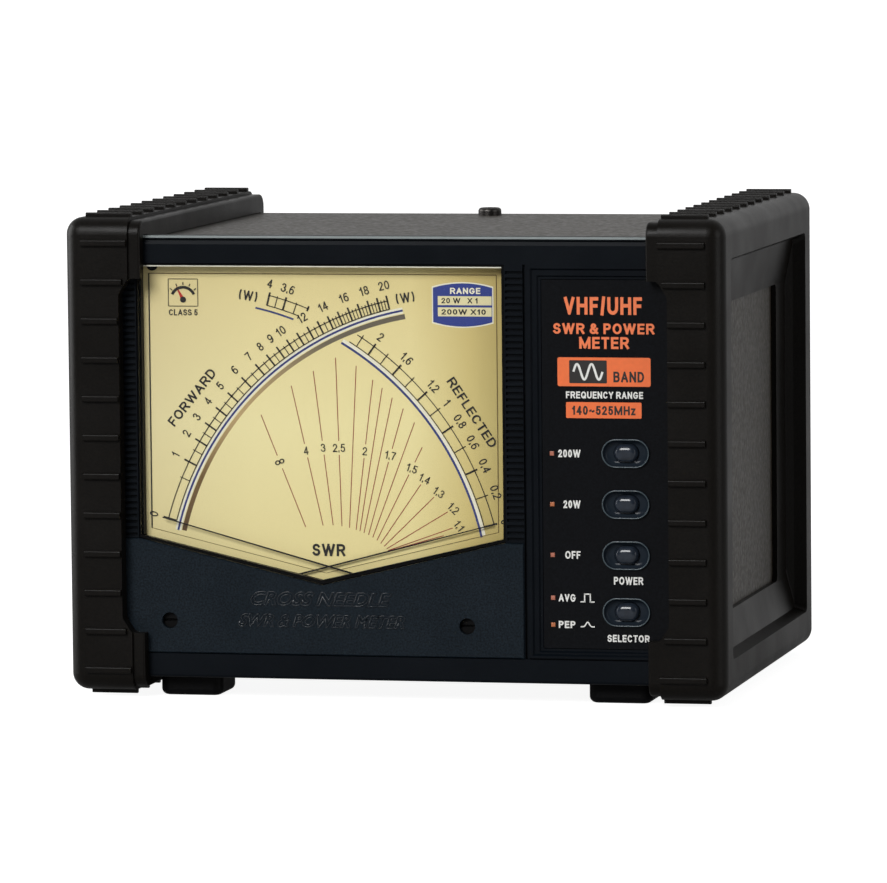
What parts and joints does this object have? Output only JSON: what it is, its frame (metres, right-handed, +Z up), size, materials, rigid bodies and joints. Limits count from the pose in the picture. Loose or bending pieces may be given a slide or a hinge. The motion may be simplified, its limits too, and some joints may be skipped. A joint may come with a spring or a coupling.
{
  "type": "swr meter",
  "caption": "Bench swr and power meter: wide case between ribbed side guards, cross-needle dial behind a window, push-button panel on the right.",
  "frame": {"origin": "middle of the whole object's plan, rear sockets included, at the soles of the feet", "axes": "+X to the viewer's right when facing the dial, +Y to the rear, +Z up"},
  "size_m": [0.165, 0.1386, 0.12],
  "materials": {
    "guard_rubber": "fine moulded grain",
    "cover_paint": "grey-brown hammertone",
    "frame_plastic": "satin near-black",
    "bezel_plastic": "fine speckled texture",
    "panel_plastic": "satin black",
    "button_plastic": "glossy",
    "led_red": "translucent",
    "led_orange": "translucent",
    "switch_plastic": "plain",
    "circuit_board": "green laminate",
    "window_clear": "clear acrylic",
    "housing_plastic": "white inside",
    "scale_card": "printed cream scale",
    "lamp_glass": "diffuse lamp",
    "needle_black": "black lacquer",
    "copper_coil": "enamelled copper wire",
    "magnet_alloy": "ground alloy",
    "soft_iron": "plated soft iron",
    "brass_parts": "machined",
    "screw_black": "blackened screw",
    "foot_rubber": "matte",
    "plated_steel": "plated",
    "cast_alloy": "as cast",
    "nickel_plate": "nickel plate",
    "white_insulator": "white fluoropolymer",
    "jack_plastic": "black"
  },
  "bodies": {
    "body": {"left_guard": "guard_rubber", "right_guard": "guard_rubber", "guard_screws": "plated_steel", "top_cover": "cover_paint", "bottom_chassis": "cover_paint", "rear_panel": "cover_paint", "cover_screw": "plated_steel", "rear_panel_screws": "plated_steel", "front_frame": "frame_plastic", "lower_bezel": "bezel_plastic", "control_panel": "panel_plastic", "led_200w": "led_red", "led_20w": "led_orange", "led_off": "led_red", "led_average": "led_red", "led_peak": "led_orange", "tact_switches": "switch_plastic", "control_board": "circuit_board", "board_screws": "plated_steel", "window_pane": "window_clear", "window_rim": "frame_plastic", "meter_housing": "housing_plastic", "scale_plate": "scale_card", "dial_lamps": "lamp_glass", "forward_magnet": "magnet_alloy", "reflected_magnet": "magnet_alloy", "forward_yoke": "soft_iron", "reflected_yoke": "soft_iron", "forward_movement_frame": "brass_parts", "reflected_movement_frame": "brass_parts", "front_left_foot": "foot_rubber", "front_right_foot": "foot_rubber", "rear_left_foot": "foot_rubber", "rear_right_foot": "foot_rubber", "foot_screws": "plated_steel", "sensor_box": "cast_alloy", "sensor_lid": "cast_alloy", "coupler_line": "brass_parts", "sensor_board": "circuit_board", "transmitter_socket": "nickel_plate", "antenna_socket": "nickel_plate", "socket_insulators": "white_insulator", "centre_contacts": "brass_parts", "connector_screws": "plated_steel", "dc_jack": "jack_plastic", "dc_jack_nut": "nickel_plate"},
    "button_200w": {"power_200w_button": "button_plastic"},
    "button_20w": {"power_20w_button": "button_plastic"},
    "button_off": {"power_off_button": "button_plastic"},
    "button_selector": {"selector_button": "button_plastic"},
    "forward_movement": {"forward_needle": "needle_black", "forward_coil": "copper_coil"},
    "reflected_movement": {"reflected_needle": "needle_black", "reflected_coil": "copper_coil"},
    "forward_adjuster": {"forward_zero_screw": "screw_black"},
    "reflected_adjuster": {"reflected_zero_screw": "screw_black"},
    "forward_zero_lever": {"forward_zero_fork": "brass_parts", "forward_hairspring": "brass_parts"},
    "reflected_zero_lever": {"reflected_zero_fork": "brass_parts", "reflected_hairspring": "brass_parts"}
  },
  "joints": [
    {"name": "button_200w_press", "type": "slide", "parent": "body", "child": "button_200w", "axis": [0, 1, 0], "range_m": [0, 0.001], "stiffness_N_per_m": 800, "springref_m": -0.0005},
    {"name": "button_20w_press", "type": "slide", "parent": "body", "child": "button_20w", "axis": [0, 1, 0], "range_m": [0, 0.001], "stiffness_N_per_m": 800, "springref_m": -0.0005},
    {"name": "button_off_press", "type": "slide", "parent": "body", "child": "button_off", "axis": [0, 1, 0], "range_m": [0, 0.001], "stiffness_N_per_m": 800, "springref_m": -0.0005},
    {"name": "button_selector_press", "type": "slide", "parent": "body", "child": "button_selector", "axis": [0, 1, 0], "range_m": [0, 0.001], "stiffness_N_per_m": 800, "springref_m": -0.0005},
    {"name": "forward_deflection", "type": "hinge", "parent": "body", "child": "forward_movement", "pos_m": [0.01505, 0, 0.02405], "axis": [0, 1, 0], "range_deg": [0, 64], "stiffness_Nm_per_rad": 0.0005},
    {"name": "reflected_deflection", "type": "hinge", "parent": "body", "child": "reflected_movement", "pos_m": [-0.0518, 0, 0.02405], "axis": [0, -1, 0], "range_deg": [0, 64], "stiffness_Nm_per_rad": 0.0005},
    {"name": "forward_zero_turn", "type": "hinge", "parent": "body", "child": "forward_adjuster", "pos_m": [0.0176, 0, 0.0191], "axis": [0, 1, 0], "range_deg": [-30, 30]},
    {"name": "reflected_zero_turn", "type": "hinge", "parent": "body", "child": "reflected_adjuster", "pos_m": [-0.0576, 0, 0.0194], "axis": [0, 1, 0], "range_deg": [-30, 30]},
    {"name": "forward_lever_tilt", "type": "hinge", "parent": "body", "child": "forward_zero_lever", "pos_m": [0.01505, 0, 0.02405], "axis": [0, 1, 0], "range_deg": [-6, 6]},
    {"name": "reflected_lever_tilt", "type": "hinge", "parent": "body", "child": "reflected_zero_lever", "pos_m": [-0.0518, 0, 0.02405], "axis": [0, 1, 0], "range_deg": [-6, 6]}
  ],
  "couplings": [
    {"joint": "forward_lever_tilt", "follows": "forward_zero_turn", "ratio": -0.162},
    {"joint": "reflected_lever_tilt", "follows": "reflected_zero_turn", "ratio": -0.117}
  ]
}
